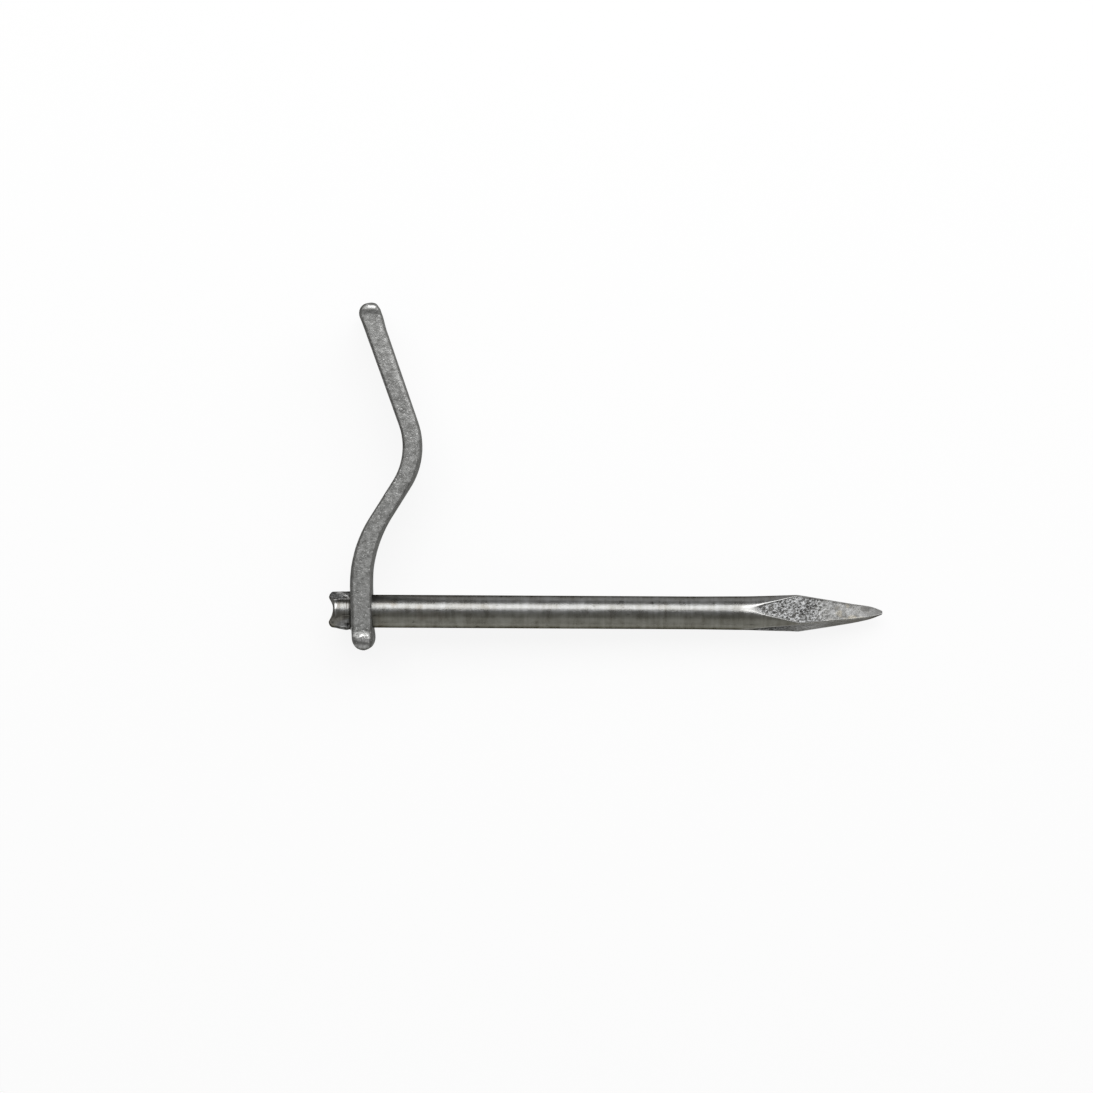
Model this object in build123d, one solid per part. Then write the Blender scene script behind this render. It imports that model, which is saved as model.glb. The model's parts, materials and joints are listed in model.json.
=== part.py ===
from build123d import *
from math import asin, atan, cos, degrees, radians, sin, sqrt, tan
import os

# Board-holding pin: a round bar with a forged four-sided point, carrying a loose S-bent lever arm.
# It lies on its side as it comes to rest: the arm flat on its lower edge, the bar leaning down onto
# the shoulder of its point. +X runs along the bar towards the point, +Y up the arm, +Z away from the
# surface. The origin is on that surface, straight below the middle of the arm's hole. Sizes in mm.

# Bar, measured along its own axis from the middle of the arm's hole
BAR_DIAMETER = 12.0
HEAD_REACH = 12.1           # to the crests of the head
TIP_REACH = 190.0           # to the tip

# Staked head: two ears stand out beside the end, and a fuller groove crosses it between them
UPPER_EAR = 1.2             # stands out from the bar at the arm
LOWER_EAR = 0.95
UPPER_EAR_START = 1.0       # stands out from the bar at the end
LOWER_EAR_START = -0.3
EAR_EDGE_ANGLE = 28.0       # from the head's middle plane to where each ear leaves the bar
EAR_ROUND = 1.5
RIM_ROUND = 1.0
HEAD_ROLL = -7.0            # degrees about the bar
GROOVE_DEPTH = 1.65
GROOVE_RADIUS = 6.7
GROOVE_OFFSET = 0.35
GROOVE_ROUND = 0.6
EAR_GAP = 0.3               # air between the ears and the arm

# Forged point: four facets close in on the round bar as its corners swell, then taper to a blunt tip
SQUARING_RUN = 19.2         # first touch of the facets to the shoulder
TAPER_RUN = 26.0            # shoulder to the start of the blunting
TIP_RUN = 5.5               # start of the blunting to the tip
SHOULDER_FLAT = 5.46        # bar axis to each facet at the shoulder
BLUNT_FLAT = 2.05           # the same where the blunting starts
TIP_FLAT = 0.6              # the same at the tip
SHOULDER_ROUND = 16.0
BLUNT_ROUND = 12.0
SWELLING_SLOPE = 8.0        # degrees at which the corners reach the shoulder
CORNER_WEAR = 0.965         # reach of the worn corners, as a share of sharp ones
POINT_ROLL = -15.5          # degrees about the bar

# Arm, seen along Z: foot run, slant run and grip run, each with its lean from +Y and its thickness
ARM_WIDTH = 25.0
FOOT_DROP = 14.1            # middle of the hole to the foot's end
FOOT_RISE = 22.1            # middle of the hole to the lower corner of the centre line
SLANT_RISE = 34.6           # lower corner to the belly corner
GRIP_RISE = 54.9            # belly corner to the top end
FOOT_ANGLE = -2.0           # degrees
SLANT_ANGLE = 31.8
GRIP_ANGLE = -19.7
FOOT_THICKNESS = 7.15
SLANT_THICKNESS = 5.9
BELLY_THICKNESS = 6.3       # grip run at the belly
TOP_THICKNESS = 7.1         # grip run at the top end
LOWER_BEND_INNER = 47.0
LOWER_BEND_OUTER = 45.0
BELLY_INNER = 23.0
BELLY_OUTER = 28.0
FOOT_END_ROUND = 3.5        # ends of the outline, at the corners of its thickness
TOP_END_ROUND = 3.3
END_CUT = 0.35              # how much of the rounded ends is struck off flat
FOOT_CORNER = 6.0           # ends of the arm, at the corners of its width
TOP_CORNER = 3.0
EDGE_ROUND = 1.0
HOLE_CLEARANCE = 0.5        # between the bar and the hole, all round
HOLE_ROUND = 0.6

BAR_RADIUS = BAR_DIAMETER / 2
HOLE_RADIUS = BAR_RADIUS + HOLE_CLEARANCE
HOLE_HEIGHT = ARM_WIDTH / 2
BLUNT_AT = TIP_REACH - TIP_RUN
SHOULDER_AT = BLUNT_AT - TAPER_RUN
FACETS_AT = SHOULDER_AT - SQUARING_RUN
SMOOTH_ANGLE = 20           # degrees, above which an edge of the arm is rounded


def corner_reach(flat):
    """Reach from the bar axis of the worn corners between facets at that distance from it."""
    return CORNER_WEAR * sqrt(2) * flat


def blank():
    """Bar turned to the reach of the point's corners, with its end rim rounded."""
    shank_end = (FACETS_AT, BAR_RADIUS)
    shoulder = (SHOULDER_AT, corner_reach(SHOULDER_FLAT))
    slope = radians(SWELLING_SLOPE)
    swelling = Spline(shank_end, shoulder, tangents=[(1, 0), (cos(slope), sin(slope))])
    point = Polyline(
        shoulder,
        (BLUNT_AT, corner_reach(BLUNT_FLAT)),
        (TIP_REACH, corner_reach(TIP_FLAT)),
        (TIP_REACH, 0),
    )
    rim = (-HEAD_REACH, BAR_RADIUS)
    shank = Polyline((TIP_REACH, 0), (-HEAD_REACH, 0), rim, shank_end)
    profile = make_face([swelling, point, shank])
    return revolve(fillet(profile.vertices().sort_by_distance(rim)[0], RIM_ROUND), Axis.X)


def facet_cutter():
    """Metal that hammering takes off above one facet, bounded by the facet's own run."""
    lead = SQUARING_RUN / 2
    tail = TIP_RUN / 2
    run_in = (BAR_RADIUS - SHOULDER_FLAT) / SQUARING_RUN
    run_out = (BLUNT_FLAT - TIP_FLAT) / TIP_RUN
    start = (FACETS_AT - lead, BAR_RADIUS + run_in * lead)
    end = (TIP_REACH + tail, TIP_FLAT - run_out * tail)
    facet = FilletPolyline(
        start,
        (SHOULDER_AT, SHOULDER_FLAT),
        (BLUNT_AT, BLUNT_FLAT),
        end,
        radius=[SHOULDER_ROUND, BLUNT_ROUND],
    )
    above = 2 * BAR_DIAMETER
    outside = Polyline(end, (end[0], above), (start[0], above), start)
    return extrude(make_face([facet, outside]), above, both=True)


def ear(hand, start, end):
    """Round ridge along the head's side, standing out from the bar by start at its end and end at the arm.

    Hand is +1 for the upper ear and -1 for the lower one. The ridge's circle leaves the bar's at
    EAR_EDGE_ANGLE, and its centre drops towards the end by the difference of the two heights.
    """
    crest = BAR_RADIUS + end
    centre = (crest**2 - BAR_RADIUS**2) / (2 * (crest - BAR_RADIUS * sin(radians(EAR_EDGE_ANGLE))))
    arm_face = -FOOT_THICKNESS / 2 - (BAR_RADIUS + UPPER_EAR) * tan(radians(abs(FOOT_ANGLE)))
    shoulder = arm_face - EAR_GAP
    section = Plane((shoulder, hand * centre, 0), x_dir=(0, 1, 0), z_dir=(1, 0, 0))
    way = Vector(-HEAD_REACH - shoulder, hand * (start - end), 0)
    ridge = extrude(section * Circle(crest - centre), way.length, dir=way)
    return fillet(ridge.edges().group_by(Axis.X)[0], EAR_ROUND)


def staked_bar():
    """Bar with its ears, and the fuller groove that crosses the end between them."""
    middle = -HEAD_REACH + GROOVE_DEPTH - GROOVE_RADIUS
    fuller = Pos(middle, GROOVE_OFFSET, 0) * Cylinder(GROOVE_RADIUS, 2 * BAR_DIAMETER)
    whole = blank() + ear(1, UPPER_EAR_START, UPPER_EAR) + ear(-1, LOWER_EAR_START, LOWER_EAR)
    grooved = whole - fuller
    return Rot(X=HEAD_ROLL) * fillet(new_edges(whole, fuller, combined=grooved), GROOVE_ROUND)


def resting_lean():
    """Degrees by which the bar leans down from the hole onto the lowest corner of the shoulder."""
    corner = corner_reach(SHOULDER_FLAT)
    worn = 45 - degrees(atan(sqrt(corner**2 - SHOULDER_FLAT**2) / SHOULDER_FLAT))
    drop = corner * cos(radians(45 - abs(POINT_ROLL) - worn))
    return degrees(asin(HOLE_HEIGHT / sqrt(SHOULDER_AT**2 + drop**2)) - atan(drop / SHOULDER_AT))


def make_pin():
    """Bar with its staked head and forged point, leaning as it rests."""
    bar = staked_bar()
    for turn in range(4):
        bar -= Rot(X=POINT_ROLL + 90 * turn) * facet_cutter()
    return Pos(0, 0, HOLE_HEIGHT) * Rot(Y=resting_lean()) * bar


def heading(lean):
    """Unit vector along +Y, leant by that many degrees towards +X."""
    return Vector(sin(radians(lean)), cos(radians(lean)), 0)


def crossing(start, along, other_start, other_along):
    """Point where two lines in the XY plane cross, each given by a point and a direction."""
    gap = other_start - start
    turn = along.X * other_along.Y - along.Y * other_along.X
    return start + along * ((gap.X * other_along.Y - gap.Y * other_along.X) / turn)


def arm_runs():
    """Centre-line runs from foot to top, each as start, end, start thickness and end thickness."""
    foot_way, slant_way, grip_way = heading(FOOT_ANGLE), heading(SLANT_ANGLE), heading(GRIP_ANGLE)
    foot_end = foot_way * (-(FOOT_DROP + END_CUT) / foot_way.Y)
    lower_corner = foot_way * (FOOT_RISE / foot_way.Y)
    belly_corner = lower_corner + slant_way * (SLANT_RISE / slant_way.Y)
    top_end = belly_corner + grip_way * ((GRIP_RISE + END_CUT) / grip_way.Y)
    return [
        (foot_end, lower_corner, FOOT_THICKNESS, FOOT_THICKNESS),
        (lower_corner, belly_corner, SLANT_THICKNESS, SLANT_THICKNESS),
        (belly_corner, top_end, BELLY_THICKNESS, TOP_THICKNESS),
    ]


def arm_side(hand, bend_radii):
    """One side of the arm's outline from foot to top: hand +1 for the +X side, -1 for the other."""
    runs = arm_runs()
    level = Vector(1, 0, 0)
    lines = [(runs[0][0], level)]
    for start, end, thick_start, thick_end in runs:
        way = (end - start).normalized()
        outward = Vector(way.Y, -way.X, 0) * hand
        low = start + outward * (thick_start / 2)
        high = end + outward * (thick_end / 2)
        lines.append((low, (high - low).normalized()))
    lines.append((runs[-1][1], level))
    corners = [crossing(*below, *above) for below, above in zip(lines, lines[1:])]
    return FilletPolyline(*corners, radius=bend_radii)


def arm_outline():
    """Outline of the arm seen along Z, with its ends rounded by at most nearly half the thickness."""
    foot_round = min(FOOT_END_ROUND, 0.49 * FOOT_THICKNESS)
    top_round = min(TOP_END_ROUND, 0.49 * TOP_THICKNESS)
    left = arm_side(-1, [LOWER_BEND_OUTER, BELLY_INNER])
    right = arm_side(1, [LOWER_BEND_INNER, BELLY_OUTER])
    outline = make_face([left, right, Line(left @ 0, right @ 0), Line(left @ 1, right @ 1)])
    outline = fillet(outline.vertices().sort_by(Axis.Y)[:2], foot_round)
    return fillet(outline.vertices().sort_by(Axis.Y)[-2:], top_round)


def arm_front():
    """Outline of the arm seen along X, with its ends rounded across the width."""
    height = FOOT_DROP + FOOT_RISE + SLANT_RISE + GRIP_RISE
    front = Pos(0, -FOOT_DROP) * Rectangle(ARM_WIDTH, height, align=(Align.MIN, Align.MIN))
    front = fillet(front.vertices().sort_by(Axis.Y)[:2], FOOT_CORNER)
    front = fillet(front.vertices().sort_by(Axis.Y)[-2:], TOP_CORNER)
    return Plane((0, 0, 0), x_dir=(0, 0, 1), z_dir=(-1, 0, 0)) * front


def sharp_edges(solid):
    """Edges across which the surface turns by more than SMOOTH_ANGLE degrees."""
    found = []
    for edge in solid.edges():
        normals = [face.normal_at(edge @ 0.5) for face in solid.faces() if edge in face.edges()]
        if normals[0].get_angle(normals[-1]) > SMOOTH_ANGLE:
            found.append(edge)
    return found


def make_arm():
    """Lever arm: both outlines in one solid, all edges rounded, and the hole through the foot."""
    across = FOOT_DROP + GRIP_RISE
    arm = extrude(arm_outline(), ARM_WIDTH) & extrude(arm_front(), across, both=True)
    arm = fillet(sharp_edges(arm), EDGE_ROUND)
    hole_way = Pos(0, 0, HOLE_HEIGHT) * Rot(Z=-FOOT_ANGLE) * Rot(Y=90)
    arm -= hole_way * Cylinder(HOLE_RADIUS, 2 * FOOT_THICKNESS)
    wall = arm.faces().filter_by(GeomType.CYLINDER).sort_by_distance((0, 0, HOLE_HEIGHT))[0]
    return fillet(wall.edges().filter_by(GeomType.CIRCLE), HOLE_ROUND)


os.makedirs("parts", exist_ok=True)
export_step(make_pin(), "parts/pin.step")
export_step(make_arm(), "parts/arm.step")
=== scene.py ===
"""Hitch pin: a round steel bar with a forged point, carrying a loose S-bent lever arm.

The object lies on its side, as it comes to rest. +X runs along the bar towards its point, +Y up the
arm and +Z away from the floor. Sizes are held in millimetres and put into the meshes in metres.
"""

import json
import logging
import math
from dataclasses import dataclass
from enum import Enum

import bpy
import numpy as np
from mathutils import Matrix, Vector


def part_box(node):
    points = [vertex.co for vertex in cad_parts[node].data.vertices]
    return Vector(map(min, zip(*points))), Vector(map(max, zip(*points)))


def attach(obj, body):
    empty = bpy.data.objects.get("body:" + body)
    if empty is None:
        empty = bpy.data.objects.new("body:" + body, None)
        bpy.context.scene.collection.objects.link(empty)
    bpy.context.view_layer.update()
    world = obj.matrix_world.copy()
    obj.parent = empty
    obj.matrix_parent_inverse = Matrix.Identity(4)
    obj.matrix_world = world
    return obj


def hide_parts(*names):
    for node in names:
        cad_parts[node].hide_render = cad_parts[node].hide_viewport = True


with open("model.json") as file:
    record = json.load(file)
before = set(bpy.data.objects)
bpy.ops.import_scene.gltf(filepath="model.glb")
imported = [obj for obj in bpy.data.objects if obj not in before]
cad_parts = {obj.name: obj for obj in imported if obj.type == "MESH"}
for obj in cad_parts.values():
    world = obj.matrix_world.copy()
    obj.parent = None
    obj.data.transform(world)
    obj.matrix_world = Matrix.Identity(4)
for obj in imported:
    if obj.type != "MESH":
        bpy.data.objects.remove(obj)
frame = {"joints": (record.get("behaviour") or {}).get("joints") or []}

Array = np.ndarray
Colour = tuple[float, float, float]
Pair = tuple[float, float]
MM = 0.001
BAR_RADIUS = 6.0
WHOLE_TURN = 2.0 * math.pi
QUARTER_TURN = math.pi / 2.0
WHITE = (1.0, 1.0, 1.0)
LOG = logging.getLogger("hitch_pin")


class Mark(Enum):
    """Values kept on the points of a piece for its finish."""

    HAMMERED = "hammered"
    # Wear on the point's ridges, and painted shade along the arm's edges and ends.
    WORN_AND_SHADED = "worn_and_shaded"
    # Soot, and painted shade in the head's folds and round the bar by the arm.
    SOOT_AND_SHADE = "soot_and_shade"
    # Rubbed metal, and painted highlights on the head and the arm.
    RUBBED_AND_HIGHLIGHT = "rubbed_and_highlight"
    # Painted shade along the bar's flanks.
    FLANK_SHADE = "flank_shade"
    # Painted highlight on the arm's top end.
    HIGHLIGHT_SPOT = "highlight_spot"


Marks = dict[Mark, Array]


# Shaping helpers


def ease(low: float, high: float, value: Array) -> Array:
    """Smooth step: 0 below low, 1 above high, and 3t^2 - 2t^3 of the share t between them.

    Args:
        low: Value at which the step starts; it may be above high, for a falling step.
        high: Value at which the step ends.
        value: What is stepped.

    Returns:
        The step, from 0 to 1.
    """
    share = np.clip((value - low) / (high - low), 0.0, 1.0)
    return share * share * (3.0 - 2.0 * share)


def bell(value: Array, middle: float, width: float, power: int = 2) -> Array:
    """Bump of height 1 round its middle m: exp(-((x - m) / w)^p)."""
    return np.exp(-(((value - middle) / width) ** power))


def wrapped(angle: Array, period: float) -> Array:
    """Angle less as many periods as bring it to within half a period of zero."""
    return (angle + period / 2.0) % period - period / 2.0


def round_in(depth: Array, radius: float) -> Array:
    """How far a rounded edge is drawn in at a depth below its end: r - sqrt(r^2 - (r - d)^2)."""
    left = np.clip(radius - depth, 0.0, radius)
    return radius - np.sqrt(np.maximum(radius**2 - left**2, 0.0))


def softer_min(first: Array, second: Array, sharpness: float) -> Array:
    """Smaller of two positive arrays with a rounded meeting: (a^-p + b^-p)^(-1/p).

    Args:
        first: One array.
        second: The other array.
        sharpness: The power p; the larger, the tighter the rounding.

    Returns:
        The blended smaller value.
    """
    low = np.minimum(first, second)
    ratio = low / np.maximum(first, second)
    return low * (1.0 + ratio**sharpness) ** (-1.0 / sharpness)


class Lumps:
    """Smooth random field: random values on a cubic lattice, eased between the eight nearest."""

    cells = 64

    def __init__(self, seed: int) -> None:
        """Draws the lattice's values from a seed."""
        self.lattice = np.random.default_rng(seed).uniform(-1.0, 1.0, (self.cells,) * 3)

    def at(self, points: Array, cell: float | tuple[float, float, float]) -> Array:
        """Field at the points: the eased, weighted mean of the lattice values around each.

        Args:
            points: Places, with x, y and z last.
            cell: Spacing of the lattice, one for all axes or one for each.

        Returns:
            Values from -1 to 1.
        """
        scaled = points / np.asarray(cell, float)
        whole = np.floor(scaled).astype(int)
        part = scaled - whole
        part = part * part * (3.0 - 2.0 * part)
        total = np.zeros(points.shape[:-1])
        for corner in np.ndindex(2, 2, 2):
            weight = np.prod(np.where(corner, part, 1.0 - part), axis=-1)
            i, j, k = np.moveaxis((whole + corner) % self.cells, -1, 0)
            total += weight * self.lattice[i, j, k]
        return total


def closed_skin(name: str, rows: Array, marks: Marks) -> bpy.types.Object:
    """Closed surface through a grid of points: rings of points, with one point at each end.

    Each ring is joined to the next by pairs of triangles, the first point of a ring follows its last,
    and the first and last rows, which each hold one place repeated, become a single pole.

    Args:
        name: Name of the piece.
        rows: Points in millimetres, as rows x ring x 3, wound so that the faces point outwards.
        marks: Values to keep on the points, each as rows x ring.

    Returns:
        The piece, with smooth faces, at the origin.
    """
    count, ring = rows.shape[:2]
    body = rows[1:-1].reshape(-1, 3)
    points = np.vstack([rows[0, :1], body, rows[-1, :1]]) * MM
    index = 1 + np.arange((count - 2) * ring).reshape(count - 2, ring)
    after = np.roll(index, -1, axis=1)
    a, b, c, d = index[:-1], after[:-1], after[1:], index[1:]
    last = len(points) - 1
    faces = np.concatenate([
        np.stack([a, b, c], -1).reshape(-1, 3),
        np.stack([a, c, d], -1).reshape(-1, 3),
        np.stack([np.zeros(ring, int), after[0], index[0]], -1),
        np.stack([np.full(ring, last), index[-1], after[-1]], -1),
    ])
    mesh = bpy.data.meshes.new(name)
    mesh.from_pydata(points.tolist(), [], faces.tolist())
    for mark, values in marks.items():
        flat = np.concatenate([values[0, :1], values[1:-1].ravel(), values[-1, :1]])
        kept = mesh.attributes.new(mark.value, "FLOAT", "POINT")
        kept.data.foreach_set("value", flat.astype(np.float32))
    mesh.shade_smooth()
    piece = bpy.data.objects.new(name, mesh)
    bpy.context.scene.collection.objects.link(piece)
    return piece


# Shader helpers


class Wire:
    """An output socket of a shader node; sums and products of wires add the Math nodes they need."""

    def __init__(self, graph: "Graph", socket: bpy.types.NodeSocket | None) -> None:
        """Wraps a socket of the graph, or nothing for a node without outputs."""
        self.graph = graph
        self.socket = socket

    def _math(self, operation: str, first: "Wire | float", second: "Wire | float") -> "Wire":
        """Result of one Math node."""
        return self.graph.add("ShaderNodeMath", {"operation": operation}, {0: first, 1: second})

    def __add__(self, other: "Wire | float") -> "Wire":
        """Sum."""
        return self._math("ADD", self, other)

    def __radd__(self, other: float) -> "Wire":
        """Sum, from the right."""
        return self._math("ADD", other, self)

    def __sub__(self, other: "Wire | float") -> "Wire":
        """Difference."""
        return self._math("SUBTRACT", self, other)

    def __rsub__(self, other: float) -> "Wire":
        """Difference, from the right."""
        return self._math("SUBTRACT", other, self)

    def __mul__(self, other: "Wire | float") -> "Wire":
        """Product."""
        return self._math("MULTIPLY", self, other)

    def __rmul__(self, other: float) -> "Wire":
        """Product, from the right."""
        return self._math("MULTIPLY", other, self)

    def between(self, low: float, high: float) -> "Wire":
        """Smooth step of this value, from 0 at low to 1 at high."""
        values = {"Value": self, "From Min": low, "From Max": high}
        return self.graph.add("ShaderNodeMapRange", {"interpolation_type": "SMOOTHSTEP"}, values)


class Graph:
    """Node tree of one material, in which every node comes from one method."""

    def __init__(self, tree: bpy.types.NodeTree) -> None:
        """Empties the node tree of a material or of the world."""
        self.tree = tree
        self.tree.nodes.clear()

    def add(
        self,
        kind: str,
        settings: dict | None = None,
        inputs: dict | None = None,
        output: int | str = 0,
    ) -> Wire:
        """Adds a node.

        Args:
            kind: Type of the node.
            settings: Its own settings, which are set first.
            inputs: Its sockets by name or number, each with a value or a wire.
            output: The output socket that is wanted.

        Returns:
            That output socket.
        """
        node = self.tree.nodes.new(kind)
        for key, value in (settings or {}).items():
            setattr(node, key, value)
        for key, value in (inputs or {}).items():
            socket = node.inputs[key]
            if isinstance(value, Wire):
                self.tree.links.new(value.socket, socket)
            else:
                socket.default_value = value
        return Wire(self, node.outputs[output] if len(node.outputs) else None)

    def times(self, first: Wire, second: Wire | Colour) -> Wire:
        """Two colours or places, multiplied part by part."""
        return self.add("ShaderNodeVectorMath", {"operation": "MULTIPLY"}, {0: first, 1: second})

    def place(self, stretch: Colour = (1.0, 1.0, 1.0)) -> Wire:
        """Place on the piece, in metres, stretched by a factor along each axis."""
        return self.times(self.add("ShaderNodeTexCoord", output="Object"), stretch)

    def axis(self, name: str) -> Wire:
        """Place on the piece along the axis of that name, in metres."""
        return self.add("ShaderNodeSeparateXYZ", {}, {0: self.place()}, name)

    def noise(
        self, scale: float, detail: float, stretch: Colour = (1.0, 1.0, 1.0), rough: float = 0.5
    ) -> Wire:
        """Noise over the piece.

        Args:
            scale: Lumps per metre.
            detail: Number of finer layers.
            stretch: Factor on the scale along each axis.
            rough: Weight of the finer layers.

        Returns:
            Values around a half.
        """
        values = {"Vector": self.place(stretch), "Scale": scale, "Detail": detail, "Roughness": rough}
        return self.add("ShaderNodeTexNoise", {"noise_dimensions": "3D"}, values)

    def mark(self, mark: Mark) -> Wire:
        """Value kept on the piece's points."""
        return self.add("ShaderNodeAttribute", {"attribute_name": mark.value}, output="Fac")

    def blend(self, share: Wire | float, first: Wire | Colour, second: Wire | Colour) -> Wire:
        """Colour that goes from the first to the second by the share."""
        ends = [value if isinstance(value, Wire) else (*value, 1.0) for value in (first, second)]
        return self.add("ShaderNodeMix", {"data_type": "RGBA"}, {0: share, 6: ends[0], 7: ends[1]}, 2)

    def layered(self, base: Wire, layers: tuple[tuple[Wire, Wire | Colour], ...]) -> Wire:
        """Colour under layers that each cover it by a share.

        Args:
            base: Colour of the bare metal.
            layers: Share and colour of each layer, the lowest first.

        Returns:
            The colour on top.
        """
        for share, colour in layers:
            base = self.blend(share, base, colour)
        return base

    def bump(self, height: Wire, depth: float, under: Wire | None = None) -> Wire:
        """Normal disturbed by a height.

        Args:
            height: Height as a share of the depth.
            depth: Size of the relief in metres.
            under: Normal that is disturbed further.

        Returns:
            The new normal.
        """
        values = {"Height": height, "Distance": depth}
        if under is not None:
            values["Normal"] = under
        return self.add("ShaderNodeBump", {}, values)

    def metal(self, colour: Wire, roughness: Wire, normal: Wire, rim: Colour) -> None:
        """Ends the graph in bare metal.

        Args:
            colour: Colour seen straight on.
            roughness: Roughness of the surface.
            normal: Disturbed normal.
            rim: Tint of the reflection at a grazing angle.
        """
        values = {
            "Base Color": colour,
            "Metallic": 1.0,
            "Roughness": roughness,
            "Normal": normal,
            "Specular Tint": (*rim, 1.0),
        }
        shader = self.add("ShaderNodeBsdfPrincipled", {}, values)
        self.add("ShaderNodeOutputMaterial", {}, {"Surface": shader})


def new_material(name: str) -> tuple[bpy.types.Material, Graph]:
    """New material of that name, with the graph of its nodes, still empty."""
    material = bpy.data.materials.new(name)
    material.use_nodes = True
    return material, Graph(material.node_tree)


@dataclass(frozen=True)
class DrawnSteel:
    """Bare drawn bar: fine streaks and rings, oil stains, a painted warm tint on its low side,
    painted shade on its flanks, forged point.

    The last five say where its colour changes along X, and for the low side along Y, in metres.
    """

    dark: Colour = (0.130, 0.127, 0.116)
    light: Colour = (0.288, 0.291, 0.290)
    # Factor for the painted warm tint on the bar's low side.
    painted_warm_tint: Colour = (0.995, 0.98, 0.875)
    brown: Colour = (0.150, 0.131, 0.106)
    dull: Colour = (0.100, 0.090, 0.078)
    # Colour of soot specks and of painted shade.
    soot_and_shade: Colour = (0.035, 0.033, 0.030)
    pit: Colour = (0.068, 0.067, 0.064)
    scale: Colour = (0.310, 0.314, 0.316)
    tint: Colour = (0.300, 0.270, 0.205)
    # Colour of rubbed metal and of painted highlights.
    rubbed_and_highlight: Colour = (0.560, 0.560, 0.550)
    rim: Colour = (0.152, 0.146, 0.130)
    roughness: float = 0.245
    off_head: Pair = (-0.0045, -0.0035)
    off_arm: Pair = (0.004, 0.045)
    warm_from: Pair = (0.165, 0.174)
    tip_from: Pair = (0.1825, 0.1885)
    low_side: Pair = (0.0006, -0.0014)

    def material(self, name: str) -> bpy.types.Material:
        """Makes the finish.

        Args:
            name: Name of the material.

        Returns:
            The material.
        """
        material, graph = new_material(name)
        cloud = graph.noise(230.0, 4.0, rough=0.6)
        streak = graph.noise(900.0, 2.0, (0.03, 1.0, 1.0))
        rings = graph.noise(800.0, 3.0, (1.0, 0.12, 0.12))
        grain = graph.noise(2200.0, 2.0)
        pitted = graph.noise(1250.0, 3.0, rough=0.6)
        turned = graph.noise(2400.0, 1.0, (1.0, 0.05, 0.05)).between(0.45, 0.65)
        mottled = graph.noise(650.0, 2.0, rough=0.6).between(0.44, 0.56)
        stain = graph.noise(170.0, 3.0, (0.6, 1.0, 1.0)).between(0.46, 0.68)
        specks = graph.noise(620.0, 1.0, (0.5, 1.0, 1.0)).between(0.69, 0.76)
        bright = graph.noise(300.0, 3.0).between(0.45, 0.62)
        along = graph.axis("X")
        on_head = 1.0 - along.between(*self.off_head)
        near_arm = 1.0 - along.between(*self.off_arm)
        warm = graph.noise(330.0, 1.0).between(0.52, 0.66) * along.between(*self.warm_from)
        hammered = graph.mark(Mark.HAMMERED)
        rubbed_and_highlight = graph.mark(Mark.RUBBED_AND_HIGHLIGHT)
        facet = hammered.between(0.04, 0.14)
        smooth = facet - hammered.between(0.2, 0.6)

        mottle = cloud.between(0.30, 0.70) * 0.50 + streak * 0.20 + rings.between(0.3, 0.7) * 0.30
        # Painted warm tint on the bar's low side, standing in for the warmer light it reflects there.
        warm_tint_share = graph.axis("Y").between(*self.low_side) * (1.0 - facet)
        drawn = graph.blend(mottle, self.dark, self.light)
        drawn = graph.times(drawn, graph.blend(warm_tint_share, WHITE, self.painted_warm_tint))
        struck = graph.blend(
            on_head * 0.65,
            graph.blend(pitted.between(0.38, 0.62), self.pit, self.scale),
            graph.blend(mottled, self.pit, self.scale),
        )
        steel = graph.layered(drawn, (
            (stain * (near_arm * (0.55 - on_head * 0.35) + 0.12), self.brown),
            (on_head * (turned * 0.65 + stain * 0.25), self.dull),
            (specks * 0.5, self.soot_and_shade),
            # Painted shade along the bar's flanks, in the colour of the pits.
            (graph.mark(Mark.FLANK_SHADE) * 0.4, self.pit),
            (hammered, struck),
            (smooth * (1.0 - bright) * 0.46, self.pit),
            (smooth * bright * 0.28, self.scale),
            (smooth * warm * 0.4, self.tint),
            (facet * along.between(*self.tip_from) * 0.65, self.pit),
            (graph.mark(Mark.WORN_AND_SHADED) * (grain * 0.7 + 0.1), self.rubbed_and_highlight),
            # Lighter on the point's under facet, and painted highlights on the head's lips and rims.
            (rubbed_and_highlight, self.rubbed_and_highlight),
            # Soot in the pits and folds, and painted shade over the head's folds and round the bar by
            # the arm.
            (graph.mark(Mark.SOOT_AND_SHADE), self.soot_and_shade),
        ))
        rough = self.roughness + cloud.between(0.35, 0.75) * 0.09 + rings * 0.05
        rough = rough + hammered * 0.13 - rubbed_and_highlight * 0.1
        normal = graph.bump(streak + rings * 1.2, 0.00002)
        normal = graph.bump(grain + on_head * turned, 0.00002, normal)
        normal = graph.bump(pitted * hammered.between(0.2, 0.9), 0.00026, normal)
        graph.metal(steel, rough, normal, self.rim)
        return material


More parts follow.
